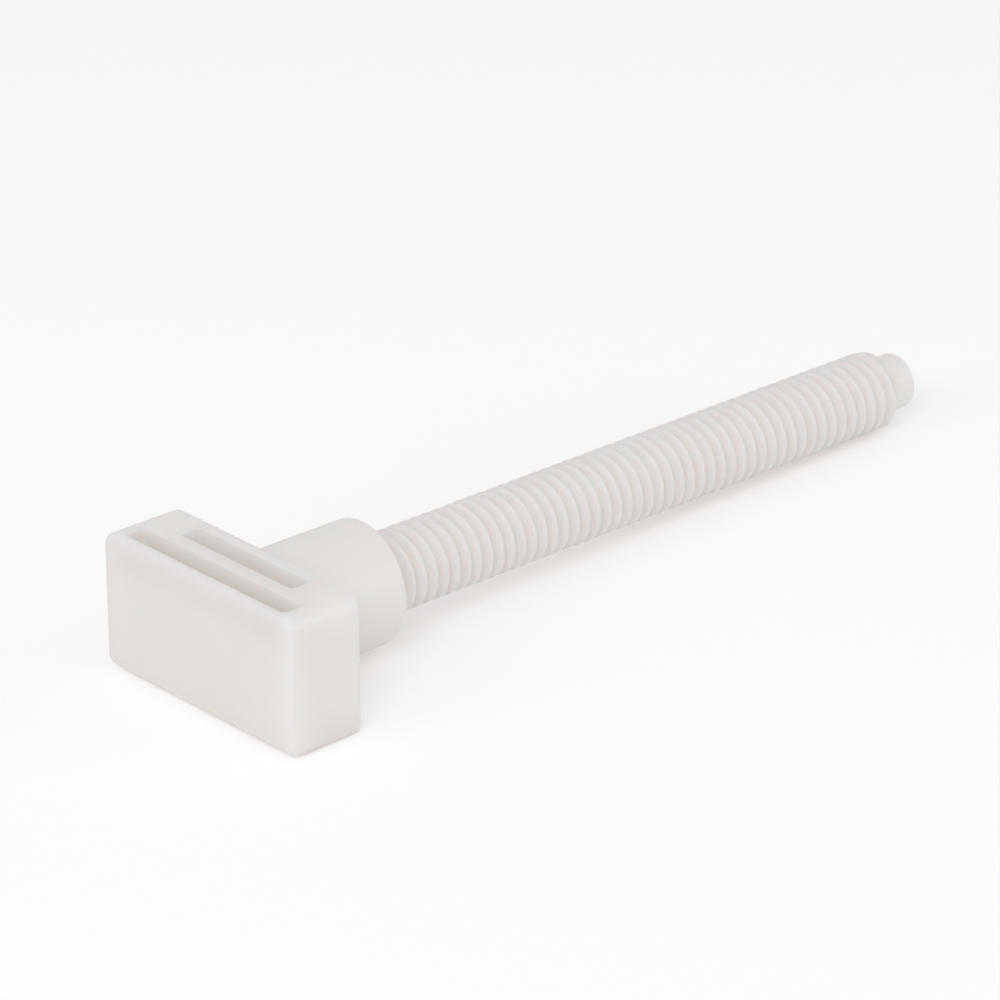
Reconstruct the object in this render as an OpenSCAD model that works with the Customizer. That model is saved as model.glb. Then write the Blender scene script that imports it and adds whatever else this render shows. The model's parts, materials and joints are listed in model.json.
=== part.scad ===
// T-head screw moulded in one piece of milky plastic: a cored rectangular head, a plain round collar,
// a long threaded shank and a short plain point. Sizes are in millimetres.
// The screw is drawn about its own axis, along +X from the head's front face, and is then laid on the
// floor, z = 0, where it rests on the head's lower edge and the end of the thread.

/* [Head] */
// Length of the head, across the screw
head_l = 19.4; // [17:0.1:24]
// Height of the head
head_h = 10.1; // [9.5:0.1:14]
// Thickness of the head, along the screw
head_t = 6; // [5:0.1:9]
// Rounding of the head's two upper corners, seen along the screw
upper_corner_r = 1.1; // [0.5:0.1:2]
// Rounding of the head's two lower corners, seen along the screw
lower_corner_r = 0.6; // [0.5:0.1:2]
// Rounding of the upper and the upright edges of the front face and the bearing face
edge_r = 0.3; // [0.1:0.05:0.4]
// Rounding of the front face's lower edge
front_lower_r = 0.8; // [0.3:0.1:1.5]
// Rounding of the bearing face's lower edge
back_lower_r = 0.5; // [0.3:0.05:1]

/* [Core pockets] */
// Depth of the pockets, from the head's upper side
pocket_depth = 2.2; // [1:0.1:8]
// Wall between the front face and the front pocket
front_wall = 0.65; // [0.4:0.05:1]
// Wall between the back pocket and the bearing face
back_wall = 1; // [0.5:0.05:1.5]
// Rib between the front pocket and the back pocket
rib_t = 1.15; // [0.8:0.05:2]
// Wall at each end of the front pocket
front_end_wall = 1.45; // [1:0.05:3]
// Wall at each end of the back pocket
back_end_wall = 3.9; // [2:0.1:6]
// Rounding of the pockets' upright corners
pocket_r = 0.3; // [0.1:0.05:0.4]

/* [Collar] */
// Diameter of the plain collar behind the head
collar_d = 9; // [7:0.1:9.3]
// Length of the collar
collar_l = 8.6; // [4:0.1:20]
// Rounding of the collar's rim
collar_rim_r = 0.3; // [0.1:0.05:0.5]

/* [Thread] */
// Diameter over the thread's crests
thread_d = 5.8; // [5.4:0.05:6.4]
// Pitch of the thread, which sets its depth
thread_pitch = 1; // [0.5:0.05:1.25]
// Length of the thread, from the collar to the point's shoulder
thread_l = 49; // [20:0.5:100]

/* [Point] */
// Diameter of the plain point
point_d = 4.1; // [2:0.1:4.2]
// Length of the point
point_l = 2; // [1:0.1:5]
// Rounding of the point's rim
point_rim_r = 0.25; // [0.1:0.05:0.8]

/* [Hidden] */
$fn = 96;

// Depth and crest of an external metric thread, as shares of its pitch, and the lean of its flanks
depth_per_pitch = 0.6134;
crest_per_pitch = 0.125;
flank_lean = 30;
thread_depth = depth_per_pitch * thread_pitch;
crest_r = thread_d / 2;
root_r = crest_r - thread_depth;
groove_w = (1 - crest_per_pitch) * thread_pitch;
flank_w = thread_depth * tan(flank_lean);

// Stations along the screw, from the head's front face
collar_end = head_t + collar_l;
shoulder = collar_end + thread_l;
last_crest = shoulder - thread_depth;
tip = shoulder + point_l;

// Whole turns of the thread, which end at the last crest
turns = floor((last_crest - collar_end) / thread_pitch);
first_groove = last_crest - turns * thread_pitch;

// The two pockets share what the walls and the rib leave of the head's thickness
pocket_w = (head_t - front_wall - rib_t - back_wall) / 2;
front_pocket_l = head_l - 2 * front_end_wall;
back_pocket_l = head_l - 2 * back_end_wall;
front_pocket_x = front_wall + pocket_w / 2;
back_pocket_x = head_t - back_wall - pocket_w / 2;

// Room that cutting shapes reach past the faces that they cut
past = 1;

// Slope of the floor under the last crest and a rounded edge with its centre at x, drop below the axis
function floor_slope(x, drop, r) =
    let (run = last_crest - x, rise = drop - crest_r)
    atan2(rise, run) + asin(r / norm([run, rise]));

head_slope = floor_slope(head_t - back_lower_r, head_h / 2 - back_lower_r, back_lower_r);
collar_slope = floor_slope(collar_end - collar_rim_r, collar_d / 2 - collar_rim_r, collar_rim_r);
rest_tilt = max(head_slope, collar_slope);
axis_lift = last_crest * sin(rest_tilt) + crest_r * cos(rest_tilt);

// Reach of the tilted screw on each side of the front face's centre
front_reach = (head_h / 2 - front_lower_r) * sin(rest_tilt) + front_lower_r * (1 - cos(rest_tilt));
tip_reach = (tip - point_rim_r) * cos(rest_tilt) + point_rim_r
    + (point_d / 2 - point_rim_r) * sin(rest_tilt);
axis_shift = (front_reach - tip_reach) / 2;

// Rectangle with round corners, centred
module rounded_rect(w, h, r) {
    square([w - 2 * r, h], center = true);
    square([w, h - 2 * r], center = true);
    for (x = [-1, 1], y = [-1, 1])
        translate([x * (w / 2 - r), y * (h / 2 - r)])
            circle(r);
}

// Rectangle, centred, with roundings of its own for the upper, lower left and lower right corners:
// each of four outlines twice as large brings one corner
module cornered_rect(w, h, upper, lower_left, lower_right) {
    intersection_for (corner = [[-1, 1, upper], [1, 1, upper], [-1, -1, lower_left], [1, -1, lower_right]])
        translate([-corner[0] * w / 2, -corner[1] * h / 2])
            rounded_rect(2 * w, 2 * h, corner[2]);
}

// Half section of a round bar whose far rim is rounded
module half_section(d, l, r) {
    square([d / 2 - r, l]);
    square([d / 2, l - r]);
    translate([d / 2 - r, l - r])
        circle(r);
}

// Turns a shape that stands on z = 0 to lie along the screw from station x
module along_screw(x) {
    translate([x, 0, 0])
        rotate([0, 90, 0])
            children();
}

// Block that is round on every edge: its three outlines, each carried through the other two
module head_block() {
    intersection() {
        translate([-past, 0, 0])
            rotate([90, 0, 90])
                linear_extrude(head_t + 2 * past)
                    cornered_rect(head_l, head_h, upper_corner_r, lower_corner_r, lower_corner_r);
        translate([head_t / 2, 0, 0])
            rotate([90, 0, 0])
                linear_extrude(head_l + 2 * past, center = true)
                    cornered_rect(head_t, head_h, edge_r, front_lower_r, back_lower_r);
        translate([head_t / 2, 0, 0])
            linear_extrude(head_h + 2 * past, center = true)
                rounded_rect(head_t, head_l, edge_r);
    }
}

// Pocket that a mould core leaves in the head's upper side, centred on station x
module core_pocket(x, l) {
    translate([x, 0, head_h / 2 - pocket_depth])
        linear_extrude(pocket_depth + past)
            rounded_rect(pocket_w, l, pocket_r);
}

// Head with a long pocket behind its front face and a shorter one before the collar
module head() {
    difference() {
        head_block();
        core_pocket(front_pocket_x, front_pocket_l);
        core_pocket(back_pocket_x, back_pocket_l);
    }
}

// Plain round neck, rooted in the head's back wall
module collar() {
    root = back_wall / 2;
    along_screw(head_t - root)
        rotate_extrude()
            half_section(collar_d, collar_l + root, collar_rim_r);
}

// Half section of the shank, from the head on: its root in the collar, a groove and a crest for each turn
// of the thread, and the chamfer at the thread's end
module shank_section() {
    polygon([
        [0, head_t],
        [crest_r, head_t],
        for (turn = [0 : turns - 1])
            let (start = first_groove + turn * thread_pitch, end = start + groove_w)
            each [[crest_r, start], [root_r, start + flank_w], [root_r, end - flank_w], [crest_r, end]],
        [crest_r, last_crest],
        [root_r, shoulder],
        [0, shoulder]
    ]);
}

// Shank with the turns of its thread drawn as rings
module shank() {
    along_screw(0)
        rotate_extrude()
            shank_section();
}

// Plain point past the thread's end
module point() {
    along_screw(last_crest)
        rotate_extrude()
            half_section(point_d, tip - last_crest, point_rim_r);
}

// Tips the screw's point down to the floor and centres its outline over the origin
module laid_to_rest() {
    translate([axis_shift, 0, axis_lift])
        rotate([0, rest_tilt, 0])
            children();
}

module t_head_screw() {
    color([0.9, 0.88, 0.87])
        laid_to_rest()
            union() {
                head();
                collar();
                shank();
                point();
            }
}

t_head_screw();
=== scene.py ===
"""Milky plastic T-head screw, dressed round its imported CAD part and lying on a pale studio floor.

The screw is one moulding. Its head, collar, thread and point are drawn about the screw's own axis in
millimetres, along +X from the middle of the head's front face. They share rings of points, so that they
join into one closed skin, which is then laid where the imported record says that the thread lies.
"""

import json
import logging
import math
from collections.abc import Collection, Iterable, Sequence
from dataclasses import dataclass, field
from enum import Enum

import bmesh
import bpy
from mathutils import Euler, Matrix, Vector


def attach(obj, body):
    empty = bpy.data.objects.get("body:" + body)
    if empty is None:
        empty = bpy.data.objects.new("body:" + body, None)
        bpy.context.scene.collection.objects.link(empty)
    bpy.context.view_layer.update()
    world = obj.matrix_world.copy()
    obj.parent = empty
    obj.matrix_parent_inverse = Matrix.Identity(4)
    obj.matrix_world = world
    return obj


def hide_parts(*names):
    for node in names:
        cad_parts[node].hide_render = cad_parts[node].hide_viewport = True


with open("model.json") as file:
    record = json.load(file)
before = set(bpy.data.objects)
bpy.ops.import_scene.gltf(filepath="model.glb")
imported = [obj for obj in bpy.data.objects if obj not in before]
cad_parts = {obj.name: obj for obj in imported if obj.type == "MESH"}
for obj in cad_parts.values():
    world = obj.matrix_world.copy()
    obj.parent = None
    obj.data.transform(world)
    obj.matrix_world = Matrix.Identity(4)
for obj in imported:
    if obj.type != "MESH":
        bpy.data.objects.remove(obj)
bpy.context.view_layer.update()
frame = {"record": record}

LOG = logging.getLogger("t_head_screw")
METRES_PER_MM = 0.001
RING_POINTS = 80
ROUND_STEPS = 6
WELD_MM = 0.001
SEAM_MM = 0.0001

# Places of the colour sockets on Blender's mix node, whose names it uses more than once
MIX_A, MIX_B, MIX_RESULT = 6, 7, 2

Colour = tuple[float, float, float]
Loop = list[bmesh.types.BMVert]
Term = bpy.types.NodeSocket | float


class Hand(Enum):
    """Which way a thread winds as it leaves the head."""

    RIGHT = 1
    LEFT = -1


def rounded_outline(width: float, height: float, upper_r: float, lower_r: float) -> list[tuple[float, float]]:
    """Outlines a rectangle with round corners, anticlockwise from the foot of its first corner.

    Args:
        width: Size along the first coordinate.
        height: Size along the second coordinate.
        upper_r: Radius of the two corners at the upper side.
        lower_r: Radius of the two corners at the lower side.

    Returns:
        The outline's points, the same number for every size.
    """
    points = []
    for quarter, (across, up) in enumerate(((1, 1), (-1, 1), (-1, -1), (1, -1))):
        radius = upper_r if up > 0 else lower_r
        for step in range(ROUND_STEPS + 1):
            angle = math.pi / 2 * (quarter + step / ROUND_STEPS)
            points.append(
                (
                    across * (width / 2 - radius) + radius * math.cos(angle),
                    up * (height / 2 - radius) + radius * math.sin(angle),
                )
            )
    return points


def quarter_round(radius: float) -> list[tuple[float, float]]:
    """Steps round a quarter of a circle.

    Args:
        radius: Radius of the rounding.

    Returns:
        Pairs of (how far in from the side, how far from the end), from the end face to the side.
    """
    steps = [math.pi / 2 * step / ROUND_STEPS for step in range(ROUND_STEPS + 1)]
    return [(radius * (1 - math.sin(a)), radius * (1 - math.cos(a))) for a in steps]


def inset_at(radius: float, run: float) -> float:
    """Finds how far a rounded edge stands in from the side.

    Args:
        radius: Radius of the rounding.
        run: Distance from the end face.

    Returns:
        The inset, which is nothing past the rounding.
    """
    left = max(radius - run, 0.0)
    return radius - math.sqrt(radius * radius - left * left)


class Skin:
    """Skin of a moulding, built up from loops of points in millimetres."""

    def __init__(self) -> None:
        """Starts with an empty skin."""
        self.mesh = bmesh.new()

    def loop(self, points: Iterable[Sequence[float]]) -> Loop:
        """Adds a loop of points.

        Args:
            points: Places of the points, in order round the loop.

        Returns:
            The new points.
        """
        return [self.mesh.verts.new(p) for p in points]

    def ring(self, station: float, radius: float) -> Loop:
        """Adds a ring of points round the axis.

        Args:
            station: Place along the axis.
            radius: Radius of the ring.

        Returns:
            The new points.
        """
        angles = [math.tau * k / RING_POINTS for k in range(RING_POINTS)]
        return self.loop((station, radius * math.cos(a), radius * math.sin(a)) for a in angles)

    def join(self, first: Loop, second: Loop, left_open: Collection[int] = ()) -> None:
        """Joins two loops of as many points with a band of faces.

        Args:
            first: One loop.
            second: The other loop.
            left_open: Places in the band that get no face.
        """
        count = len(first)
        for k in range(count):
            if k not in left_open:
                after = (k + 1) % count
                self.mesh.faces.new((first[k], first[after], second[after], second[k]))

    def join_all(self, loops: Sequence[Loop]) -> None:
        """Joins each loop to the next one."""
        for first, second in zip(loops, loops[1:]):
            self.join(first, second)

    def cap(self, rim: Loop) -> None:
        """Closes a flat loop with one face."""
        self.mesh.faces.new(rim)

    def fill(self, *rims: Loop) -> None:
        """Fills a flat face between an outer rim and the rims of its holes.

        Args:
            *rims: The outer rim, then the holes' rims.
        """
        edges = []
        for rim in rims:
            for a, b in zip(rim, rim[1:] + rim[:1]):
                edges.append(self.mesh.edges.get((a, b)) or self.mesh.edges.new((a, b)))
        bmesh.ops.triangle_fill(self.mesh, use_beauty=True, use_dissolve=False, edges=edges)

    def bridge(self, station: float) -> None:
        """Joins the two open rings that lie in one plane, one inside the other.

        Args:
            station: Place of that plane along the axis.
        """
        points = [v for v in self.mesh.verts if v.is_boundary and abs(v.co.x - station) < WELD_MM]
        points.sort(key=lambda v: math.hypot(v.co.y, v.co.z))
        rings = points[:RING_POINTS], points[RING_POINTS:]
        inner, outer = (sorted(ring, key=self.place_in_ring) for ring in rings)
        self.join(inner, outer)

    def place_in_ring(self, point: bmesh.types.BMVert) -> int:
        """Tells which of its ring's points one is, counted round the axis."""
        return round(math.atan2(point.co.z, point.co.y) / math.tau * RING_POINTS) % RING_POINTS

    def add(self, mesh: bpy.types.Mesh) -> None:
        """Takes a finished mesh into the skin and drops the mesh itself."""
        self.mesh.from_mesh(mesh)
        bpy.data.meshes.remove(mesh)

    def close(self, name: str) -> bpy.types.Mesh:
        """Turns the skin's faces outwards and makes it a mesh.

        Args:
            name: Name of the mesh.

        Returns:
            The closed mesh.
        """
        bmesh.ops.remove_doubles(self.mesh, verts=self.mesh.verts, dist=SEAM_MM)
        bmesh.ops.recalc_face_normals(self.mesh, faces=self.mesh.faces)
        open_edges = sum(1 for e in self.mesh.edges if not e.is_manifold)
        volume = self.mesh.calc_volume(signed=True)
        LOG.info("%s: %d open edges, %.1f cubic mm", name, open_edges, volume)
        mesh = bpy.data.meshes.new(name)
        self.mesh.to_mesh(mesh)
        self.mesh.free()
        return mesh


class NodeBench:
    """Lays out and wires the nodes of one tree."""

    def __init__(self, tree: bpy.types.NodeTree) -> None:
        """Keeps the tree to work on."""
        self.tree = tree

    def add(
        self, kind: str, inputs: dict[str | int, object] | None = None, **settings: object
    ) -> bpy.types.Node:
        """Adds a node.

        Args:
            kind: Blender's name for the kind of node.
            inputs: Sockets to wire or numbers to set, by the input's name or place.
            **settings: Settings of the node itself.

        Returns:
            The new node.
        """
        node = self.tree.nodes.new(kind)
        for name, value in settings.items():
            setattr(node, name, value)
        for name, value in (inputs or {}).items():
            if isinstance(value, bpy.types.NodeSocket):
                self.tree.links.new(value, node.inputs[name])
            else:
                node.inputs[name].default_value = value
        return node

    def math(self, operation: str, *terms: Term) -> bpy.types.NodeSocket:
        """Works out a sum.

        Args:
            operation: Blender's name for the operation.
            *terms: Its terms, sockets or numbers.

        Returns:
            The socket that holds the result.
        """
        kind = "ShaderNodeMath"
        return self.add(kind, dict(enumerate(terms)), operation=operation).outputs[0]

    def seen(self) -> bpy.types.NodeSocket:
        """Tells what is seen, in itself or in a shiny or clear surface, from what only gives light.

        Returns:
            The socket that holds 1 for what is seen and 0 for the rest.
        """
        path = self.add("ShaderNodeLightPath").outputs
        mirrored = self.math("MAXIMUM", path["Is Glossy Ray"], path["Is Transmission Ray"])
        return self.math("MAXIMUM", path["Is Camera Ray"], mirrored)


@dataclass(frozen=True)
class MilkyPlastic:
    """Natural plastic that light soaks into, with the satin skin of its mould."""

    name: str = "milky_plastic"
    body_colour: Colour = (0.87, 0.834, 0.812)
    cloud_colour: Colour = (0.855, 0.819, 0.797)
    cloud_mm: float = 4.0
    refraction: float = 1.5
    soak_mm: Colour = (4.0, 4.0, 4.0)
    forward_soak: float = 0.5
    roughest: float = 0.48
    smoothest: float = 0.36
    grain_mm: float = 0.16
    grain_depth_mm: float = 0.006
    noise_detail: float = 3.0

    def material(self) -> bpy.types.Material:
        """Makes the material.

        Returns:
            The new material.
        """
        material = bpy.data.materials.new(self.name)
        material.use_nodes = True
        bench = NodeBench(material.node_tree)
        shader = material.node_tree.nodes["Principled BSDF"]
        shader.subsurface_method = "RANDOM_WALK_SKIN"
        shader.inputs["Subsurface Weight"].default_value = 1.0
        shader.inputs["Subsurface IOR"].default_value = self.refraction
        shader.inputs["Subsurface Radius"].default_value = self.soak_mm
        shader.inputs["Subsurface Scale"].default_value = METRES_PER_MM
        shader.inputs["Subsurface Anisotropy"].default_value = self.forward_soak
        where = bench.add("ShaderNodeTexCoord").outputs["Object"]
        cloud = self.noise(bench, where, self.cloud_mm)
        grain = self.noise(bench, where, self.grain_mm)
        colour = bench.add(
            "ShaderNodeMix",
            {"Factor": cloud, MIX_A: (*self.body_colour, 1), MIX_B: (*self.cloud_colour, 1)},
            data_type="RGBA",
        )
        gloss = bench.add(
            "ShaderNodeMapRange", {"Value": grain, "To Min": self.smoothest, "To Max": self.roughest}
        )
        bump = bench.add(
            "ShaderNodeBump", {"Height": grain, "Distance": self.grain_depth_mm * METRES_PER_MM}
        )
        links = material.node_tree.links
        links.new(colour.outputs[MIX_RESULT], shader.inputs["Base Color"])
        links.new(gloss.outputs["Result"], shader.inputs["Roughness"])
        links.new(bump.outputs["Normal"], shader.inputs["Normal"])
        return material

    def noise(self, bench: NodeBench, where: bpy.types.NodeSocket, size_mm: float) -> bpy.types.NodeSocket:
        """Spreads an even noise over the plastic.

        Args:
            bench: Bench of the material's tree.
            where: Coordinates that the noise reads.
            size_mm: Size of its patches.

        Returns:
            The noise's value, from 0 to 1.
        """
        inputs = {"Vector": where, "Scale": 1 / (size_mm * METRES_PER_MM), "Detail": self.noise_detail}
        return bench.add("ShaderNodeTexNoise", inputs).outputs["Fac"]


@dataclass
class CorePocket:
    """Pocket that a core of the mould leaves in the head's upper side."""

    middle: float
    width: float
    length: float
    depth: float
    corner_r: float = 0.3
    rim_r: float = 0.17
    floor_r: float = 0.2

    def sink(self, skin: Skin, face: float) -> Loop:
        """Sinks the pocket's walls and floor from the head's upper side.

        Args:
            skin: Skin that gets the pocket.
            face: Height of that side above the axis.

        Returns:
            The pocket's rim in the face.
        """
        rim = quarter_round(self.rim_r)
        floor = [(-inset, self.depth - drop) for inset, drop in quarter_round(self.floor_r)][::-1]
        loops = []
        for grown, drop in rim + floor:
            corner_r = self.corner_r + grown
            outline = rounded_outline(self.width + 2 * grown, self.length + 2 * grown, corner_r, corner_r)
            loops.append(skin.loop((self.middle + x, y, face - drop) for x, y in outline))
        skin.join_all(loops)
        skin.cap(loops[-1])
        return loops[0]


@dataclass
class Head:
    """Rectangular head with two core pockets in its upper side."""

    length: float = 19.4
    height: float = 10.1
    thickness: float = 6.0
    upper_corner_r: float = 1.1
    lower_corner_r: float = 0.6
    edge_r: float = 0.3
    front_lower_r: float = 0.8
    back_lower_r: float = 0.5
    pocket_depth: float = 2.2
    front_wall: float = 0.65
    back_wall: float = 1.0
    rib: float = 1.15
    front_end_wall: float = 1.45
    back_end_wall: float = 3.9

    def pockets(self) -> list[CorePocket]:
        """Sizes the two pockets from the walls that are left round them.

        Returns:
            The front and the back pocket.
        """
        width = (self.thickness - self.front_wall - self.rib - self.back_wall) / 2
        front = self.front_wall + width / 2
        back = self.thickness - self.back_wall - width / 2
        return [
            CorePocket(front, width, self.length - 2 * self.front_end_wall, self.pocket_depth),
            CorePocket(back, width, self.length - 2 * self.back_end_wall, self.pocket_depth),
        ]

    def runs(self, lower_r: float) -> list[float]:
        """Lists the distances from an end face at which its rounded edges get a section."""
        return sorted({run for radius in (self.edge_r, lower_r) for _, run in quarter_round(radius)})

    def section(self, skin: Skin, station: float, run: float, lower_r: float) -> Loop:
        """Adds the head's outline at a station.

        Args:
            skin: Skin that gets the outline.
            station: Place along the axis.
            run: Distance from the nearer end face.
            lower_r: Rounding of that face's lower edge.

        Returns:
            The outline's points.
        """
        inset = inset_at(self.edge_r, run)
        top = self.height / 2 - inset
        bottom = inset_at(lower_r, run) - self.height / 2
        outline = rounded_outline(
            self.length - 2 * inset, top - bottom, self.upper_corner_r - inset, self.lower_corner_r - inset
        )
        return skin.loop((station, y, z + (top + bottom) / 2) for y, z in outline)

    def build(self, skin: Skin, collar_root: Loop) -> None:
        """Adds the head to the skin.

        Args:
            skin: Skin that gets the head.
            collar_root: Ring where the collar leaves the head's back.
        """
        front = [
            (run, self.section(skin, run, run, self.front_lower_r))
            for run in self.runs(self.front_lower_r)
        ]
        back = [
            (run, self.section(skin, self.thickness - run, run, self.back_lower_r))
            for run in self.runs(self.back_lower_r)
        ]
        sections = front + back[::-1]
        upper_side = ROUND_STEPS
        rounded = self.edge_r - WELD_MM
        for (first_run, first), (second_run, second) in zip(sections, sections[1:]):
            flat = min(first_run, second_run) > rounded
            skin.join(first, second, left_open=(upper_side,) if flat else ())
        skin.cap(front[0][1])
        skin.fill(back[0][1], collar_root)
        level = [outline for run, outline in sections if run > rounded]
        rim = [o[upper_side] for o in level] + [o[upper_side + 1] for o in reversed(level)]
        skin.fill(rim, *(pocket.sink(skin, self.height / 2) for pocket in self.pockets()))


@dataclass
class Collar:
    """Plain round neck behind the head."""

    diameter: float = 9.0
    length: float = 8.6
    rim_r: float = 0.3

    def build(self, skin: Skin, start: float) -> Loop:
        """Adds the collar, open at its root and where the thread leaves it.

        Args:
            skin: Skin that gets the collar.
            start: Station of the head's back.

        Returns:
            The ring at the collar's root.
        """
        radius, end = self.diameter / 2, start + self.length
        root = skin.ring(start, radius)
        rim = [skin.ring(end - run, radius - inset) for inset, run in quarter_round(self.rim_r)]
        skin.join_all([root, *rim[::-1]])
        return root


@dataclass
class HelicalThread:
    """Fine thread that winds from the collar to the chamfer at its end."""

    diameter: float = 5.8
    pitch: float = 1.0
    length: float = 49.0
    depth_per_pitch: float = 0.6134
    crest_flat: float = 0.1
    root_flat: float = 0.05
    rows_per_pitch: int = 12
    spare_turns: float = 2.0
    hand: Hand = Hand.RIGHT

    @property
    def depth(self) -> float:
        """Depth from the crests to the roots."""
        return self.depth_per_pitch * self.pitch

    def tree(self) -> bpy.types.NodeTree:
        """Makes the nodes that wind a flat grid into a thread.

        Returns:
            The tree, whose inputs are the thread's sizes.
        """
        tree = bpy.data.node_groups.new("helical_thread", "GeometryNodeTree")
        sizes = ("Diameter", "Depth", "Pitch", "Start", "End", "Crest Flat", "Root Flat", "Hand")
        for name in sizes:
            tree.interface.new_socket(name, in_out="INPUT", socket_type="NodeSocketFloat")
        for name in ("Ring Points", "Rows per Pitch"):
            tree.interface.new_socket(name, in_out="INPUT", socket_type="NodeSocketInt")
        tree.interface.new_socket("Plastic", in_out="INPUT", socket_type="NodeSocketMaterial")
        tree.interface.new_socket("Thread", in_out="OUTPUT", socket_type="NodeSocketGeometry")
        bench = NodeBench(tree)
        size = bench.add("NodeGroupInput").outputs
        start, end, pitch = size["Start"], size["End"], size["Pitch"]

        # A grid with rows along the thread, some past its two ends, and a column for each point of a ring
        pitches = bench.math("DIVIDE", bench.math("SUBTRACT", end, start), pitch)
        turns = bench.math("ADD", bench.math("CEIL", pitches), self.spare_turns)
        rows = bench.math("MULTIPLY_ADD", turns, size["Rows per Pitch"], 1.0)
        columns = bench.math("ADD", size["Ring Points"], 1.0)
        grid = bench.add(
            "GeometryNodeMeshGrid",
            {"Size X": 1.0, "Size Y": 1.0, "Vertices X": rows, "Vertices Y": columns},
        )
        place = bench.add("ShaderNodeSeparateXYZ", {0: bench.add("GeometryNodeInputPosition").outputs[0]})
        along = bench.math("ADD", place.outputs["X"], 0.5)
        around = bench.math("ADD", place.outputs["Y"], 0.5)

        # Each row climbs one pitch in a turn, and the rows stop at the thread's two ends
        climb = bench.math("SUBTRACT", bench.math("MULTIPLY_ADD", along, turns, around), 1.0)
        station = bench.math("MULTIPLY_ADD", climb, pitch, start)
        station = bench.math("MINIMUM", bench.math("MAXIMUM", station, start), end)

        # Rounded crests and roots, cut back by the chamfer
        run = bench.math("DIVIDE", bench.math("SUBTRACT", station, start), pitch)
        wound = bench.math("SUBTRACT", run, around)
        from_middle = bench.math("SUBTRACT", bench.math("FRACT", wound), 0.5)
        from_crest = bench.math("MULTIPLY", bench.math("ABSOLUTE", from_middle), 2.0)
        drop = bench.add(
            "ShaderNodeMapRange",
            {
                "Value": from_crest,
                "From Min": size["Crest Flat"],
                "From Max": bench.math("SUBTRACT", 1.0, size["Root Flat"]),
                "To Max": size["Depth"],
            },
            interpolation_type="SMOOTHSTEP",
        )
        crest = bench.math("DIVIDE", size["Diameter"], 2.0)
        root = bench.math("SUBTRACT", crest, size["Depth"])
        chamfer = bench.math("ADD", root, bench.math("SUBTRACT", end, station))
        radius = bench.math("MINIMUM", bench.math("SUBTRACT", crest, drop.outputs["Result"]), chamfer)
        angle = bench.math("MULTIPLY", bench.math("MULTIPLY", around, math.tau), size["Hand"])
        wound_place = bench.add(
            "ShaderNodeCombineXYZ",
            {
                "X": station,
                "Y": bench.math("MULTIPLY", radius, bench.math("COSINE", angle)),
                "Z": bench.math("MULTIPLY", radius, bench.math("SINE", angle)),
            },
        )
        wound_grid = bench.add(
            "GeometryNodeSetPosition",
            {"Geometry": grid.outputs["Mesh"], "Position": wound_place.outputs["Vector"]},
        )
        welded = bench.add(
            "GeometryNodeMergeByDistance",
            {"Geometry": wound_grid.outputs["Geometry"], "Distance": WELD_MM},
        )
        real = bench.add("GeometryNodeRealizeInstances", {"Geometry": welded.outputs["Geometry"]})
        dressed = bench.add(
            "GeometryNodeSetMaterial", {"Geometry": real.outputs["Geometry"], "Material": size["Plastic"]}
        )
        bench.add("NodeGroupOutput", {"Thread": dressed.outputs["Geometry"]})
        return tree

    def build(self, skin: Skin, start: float, plastic: bpy.types.Material) -> None:
        """Adds the thread, open at both ends.

        Args:
            skin: Skin that gets the thread.
            start: Station of the collar's end.
            plastic: Material of the screw.
        """
        tree = self.tree()
        winder = bpy.data.objects.new("thread_winder", bpy.data.meshes.new("thread_winder"))
        bpy.context.scene.collection.objects.link(winder)
        modifier = winder.modifiers.new("helical_thread", "NODES")
        modifier.node_group = tree
        values = {
            "Diameter": self.diameter,
            "Depth": self.depth,
            "Pitch": self.pitch,
            "Start": start,
            "End": start + self.length,
            "Crest Flat": self.crest_flat,
            "Root Flat": self.root_flat,
            "Hand": float(self.hand.value),
            "Ring Points": RING_POINTS,
            "Rows per Pitch": self.rows_per_pitch,
            "Plastic": plastic,
        }
        for socket in tree.interface.items_tree:
            if socket.in_out == "INPUT":
                modifier[socket.identifier] = values[socket.name]
        wound = winder.evaluated_get(bpy.context.evaluated_depsgraph_get())
        skin.add(bpy.data.meshes.new_from_object(wound))
        blank = winder.data
        bpy.data.objects.remove(winder)
        bpy.data.meshes.remove(blank)


@dataclass
class PlainPoint:
    """Plain round point past the thread's end."""

    diameter: float = 4.1
    length: float = 2.0
    rim_r: float = 0.25

    def build(self, skin: Skin, start: float) -> None:
        """Adds the point, open at its root.

        Args:
            skin: Skin that gets the point.
            start: Station of the thread's end.
        """
        radius, end = self.diameter / 2, start + self.length
        root = skin.ring(start, radius)
        rim = [skin.ring(end - run, radius - inset) for inset, run in quarter_round(self.rim_r)]
        skin.join_all([root, *rim[::-1]])
        skin.cap(rim[0])


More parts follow.
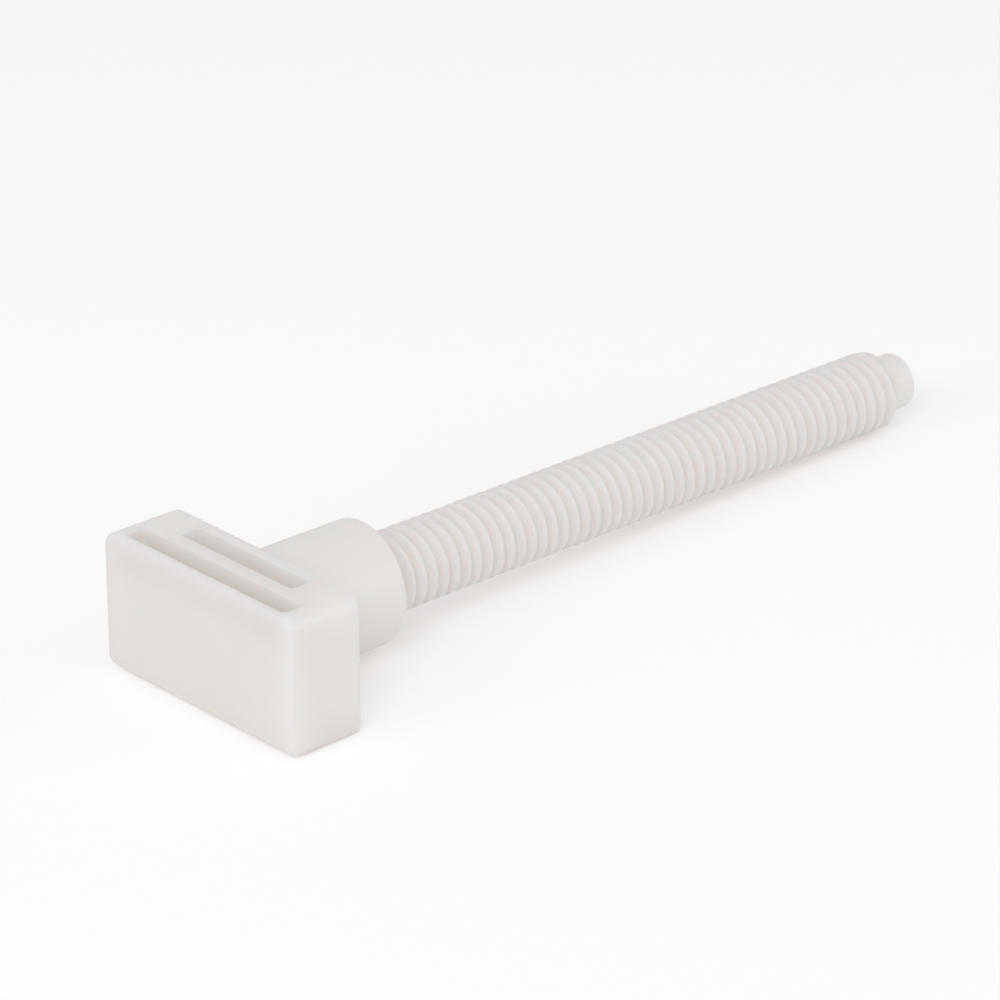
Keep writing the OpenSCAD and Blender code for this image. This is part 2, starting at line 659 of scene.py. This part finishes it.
@dataclass
class TeeHeadScrew:
    """The whole screw, moulded in one piece."""

    node: str = "t_head_screw"
    slot: str = "milky_plastic"
    thread_mount: str = "thread"
    crease_deg: float = 50.0
    head: Head = field(default_factory=Head)
    collar: Collar = field(default_factory=Collar)
    thread: HelicalThread = field(default_factory=HelicalThread)
    point: PlainPoint = field(default_factory=PlainPoint)
    plastic: MilkyPlastic = field(default_factory=MilkyPlastic)

    def lie(self) -> Matrix:
        """Finds how the screw lies from the thread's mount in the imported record.

        Returns:
            The matrix from the screw's own millimetres to the frame.
        """
        mount = next(m for m in frame["record"]["mounts"] if m["name"] == self.thread_mount)
        along = Vector(mount["axis"]).normalized()
        across = Vector((0, 1, 0))
        turn = Matrix((along, across, along.cross(across))).transposed().to_4x4()
        middle = self.head.thickness + self.collar.length + mount["dims"]["length_mm"] / 2
        start = Vector(mount["pos_m"]) - along * middle * METRES_PER_MM
        return Matrix.Translation(start) @ turn @ Matrix.Scale(METRES_PER_MM, 4)

    def mould(self, plastic: bpy.types.Material) -> bpy.types.Mesh:
        """Builds the closed skin of the screw.

        Args:
            plastic: Material of the screw.

        Returns:
            The skin's mesh, in the screw's own millimetres.
        """
        skin = Skin()
        collar_end = self.head.thickness + self.collar.length
        shoulder = collar_end + self.thread.length
        collar_root = self.collar.build(skin, self.head.thickness)
        self.head.build(skin, collar_root)
        self.thread.build(skin, collar_end, plastic)
        self.point.build(skin, shoulder)
        skin.bridge(collar_end)
        skin.bridge(shoulder)
        return skin.close(self.node)

    def build(self) -> bpy.types.Object:
        """Moulds, lays and dresses the screw.

        Returns:
            The finished piece.
        """
        plastic = self.plastic.material()
        mesh = self.mould(plastic)
        mesh.transform(self.lie())
        mesh.materials.clear()
        mesh.materials.append(plastic)
        mesh.shade_smooth()
        mesh.set_sharp_from_angle(angle=math.radians(self.crease_deg))
        piece = bpy.data.objects.new("screw", mesh)
        bpy.context.scene.collection.objects.link(piece)
        self.flatten_shading(piece)
        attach(piece, "root")
        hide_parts(self.node)
        LOG.info("%s: %d faces", piece.name, len(piece.data.polygons))
        return piece

    def flatten_shading(self, piece: bpy.types.Object) -> None:
        """Keeps flat faces flat beside their rounded edges, through normals weighted by area.

        Args:
            piece: The screw, whose mesh is replaced.
        """
        modifier = piece.modifiers.new("flat_faces", "WEIGHTED_NORMAL")
        modifier.keep_sharp = True
        shaded = piece.evaluated_get(bpy.context.evaluated_depsgraph_get())
        mesh = bpy.data.meshes.new_from_object(shaded)
        rough = piece.data
        piece.modifiers.clear()
        piece.data = mesh
        bpy.data.meshes.remove(rough)
        mesh.name = self.node


@dataclass
class Softbox:
    """Soft square lamp that points at the screw."""

    name: str
    place: tuple[float, float, float]
    size: float
    power: float

    def build(self) -> bpy.types.Object:
        """Hangs the lamp and turns it to the origin.

        Returns:
            The lamp.
        """
        lamp = bpy.data.lights.new(self.name, "AREA")
        lamp.size = self.size
        lamp.energy = self.power
        box = bpy.data.objects.new(self.name, lamp)
        bpy.context.scene.collection.objects.link(box)
        box.location = self.place
        box.rotation_euler = Vector(self.place).to_track_quat("Z", "Y").to_euler()
        return box


@dataclass
class PhotoCamera:
    """Camera at the photograph's viewing angle, found by a perspective fit of the screw's edges."""

    aim: tuple[float, float, float] = (-0.0149009, -0.0104517, 0.0131841)
    distance: float = 0.3809515
    azimuth_deg: float = -41.0835
    elevation_deg: float = 25.8292
    roll_deg: float = -1.9904
    lens_mm: float = 207.931
    sensor_mm: float = 36.0
    clip_span: float = 100.0

    def build(self) -> bpy.types.Object:
        """Sets up the camera and makes it the scene's own.

        Returns:
            The camera.
        """
        data = bpy.data.cameras.new("photo_camera")
        data.lens, data.sensor_width = self.lens_mm, self.sensor_mm
        data.clip_start = self.distance / self.clip_span
        data.clip_end = self.distance * self.clip_span
        camera = bpy.data.objects.new("photo_camera", data)
        bpy.context.scene.collection.objects.link(camera)
        tilt = math.radians(90 - self.elevation_deg)
        turn = Euler((tilt, 0, math.radians(self.azimuth_deg))).to_matrix()
        turn = turn @ Matrix.Rotation(math.radians(self.roll_deg), 3, "Z")
        camera.matrix_world = Matrix.Translation(
            Vector(self.aim) + turn.col[2] * self.distance
        ) @ turn.to_4x4()
        bpy.context.scene.camera = camera
        return camera


@dataclass
class Studio:
    """Pale floor, soft light all round and softboxes that shape the head and the thread."""

    floor_half: float = 3.0
    floor_colour: Colour = (0.97, 0.97, 0.97)
    floor_glow: float = 0.235
    around_strength: float = 0.57
    light_bounces: int = 24
    lamps: tuple[Softbox, ...] = (
        Softbox("front_softbox", (-0.48, -0.34, 0.53), 0.35, 1.15),
        Softbox("left_softbox", (-0.66, 0.10, 0.38), 0.35, 0.4),
        Softbox("right_softbox", (0.46, -0.58, 0.22), 0.35, 0.55),
    )

    def build(self) -> None:
        """Lays the floor, lights the scene and sets the plain view."""
        self.lay_floor()
        self.light_all_round()
        for lamp in self.lamps:
            lamp.build()
        bpy.context.scene.cycles.max_bounces = self.light_bounces
        bpy.context.scene.cycles.diffuse_bounces = self.light_bounces
        bpy.context.scene.view_settings.view_transform = "Standard"

    def lay_floor(self) -> None:
        """Lays the pale floor that the screw rests on."""
        half = self.floor_half
        mesh = bpy.data.meshes.new("floor")
        corners = [(-half, -half, 0), (half, -half, 0), (half, half, 0), (-half, half, 0)]
        mesh.from_pydata(corners, [], [(0, 1, 2, 3)])
        material = bpy.data.materials.new("pale_floor")
        material.use_nodes = True
        shader = material.node_tree.nodes["Principled BSDF"]
        shader.inputs["Base Color"].default_value = (*self.floor_colour, 1)
        shader.inputs["Roughness"].default_value = 1.0
        shader.inputs["Specular IOR Level"].default_value = 0.0
        bench = NodeBench(material.node_tree)
        glow = bench.math("MULTIPLY", bench.seen(), self.floor_glow)
        material.node_tree.links.new(glow, shader.inputs["Emission Strength"])
        shader.inputs["Emission Color"].default_value = (1, 1, 1, 1)
        mesh.materials.append(material)
        floor = bpy.data.objects.new("floor", mesh)
        bpy.context.scene.collection.objects.link(floor)

    def light_all_round(self) -> None:
        """Lights the screw evenly from all round, and shows white where there is no floor."""
        world = bpy.data.worlds.new("studio")
        world.use_nodes = True
        bpy.context.scene.world = world
        bench = NodeBench(world.node_tree)
        world.node_tree.nodes.clear()
        light = bench.add("ShaderNodeBackground", {"Color": (1, 1, 1, 1), "Strength": self.around_strength})
        white = bench.add("ShaderNodeBackground", {"Color": (1, 1, 1, 1), "Strength": 1.0})
        both = bench.add(
            "ShaderNodeMixShader",
            {0: bench.seen(), 1: light.outputs["Background"], 2: white.outputs["Background"]},
        )
        bench.add("ShaderNodeOutputWorld", {"Surface": both.outputs["Shader"]})


def main() -> None:
    """Builds the screw, the studio and the camera, in that order."""
    logging.basicConfig(level=logging.INFO, format="%(name)s: %(message)s")
    TeeHeadScrew().build()
    Studio().build()
    PhotoCamera().build()


if __name__ == "__main__":
    main()
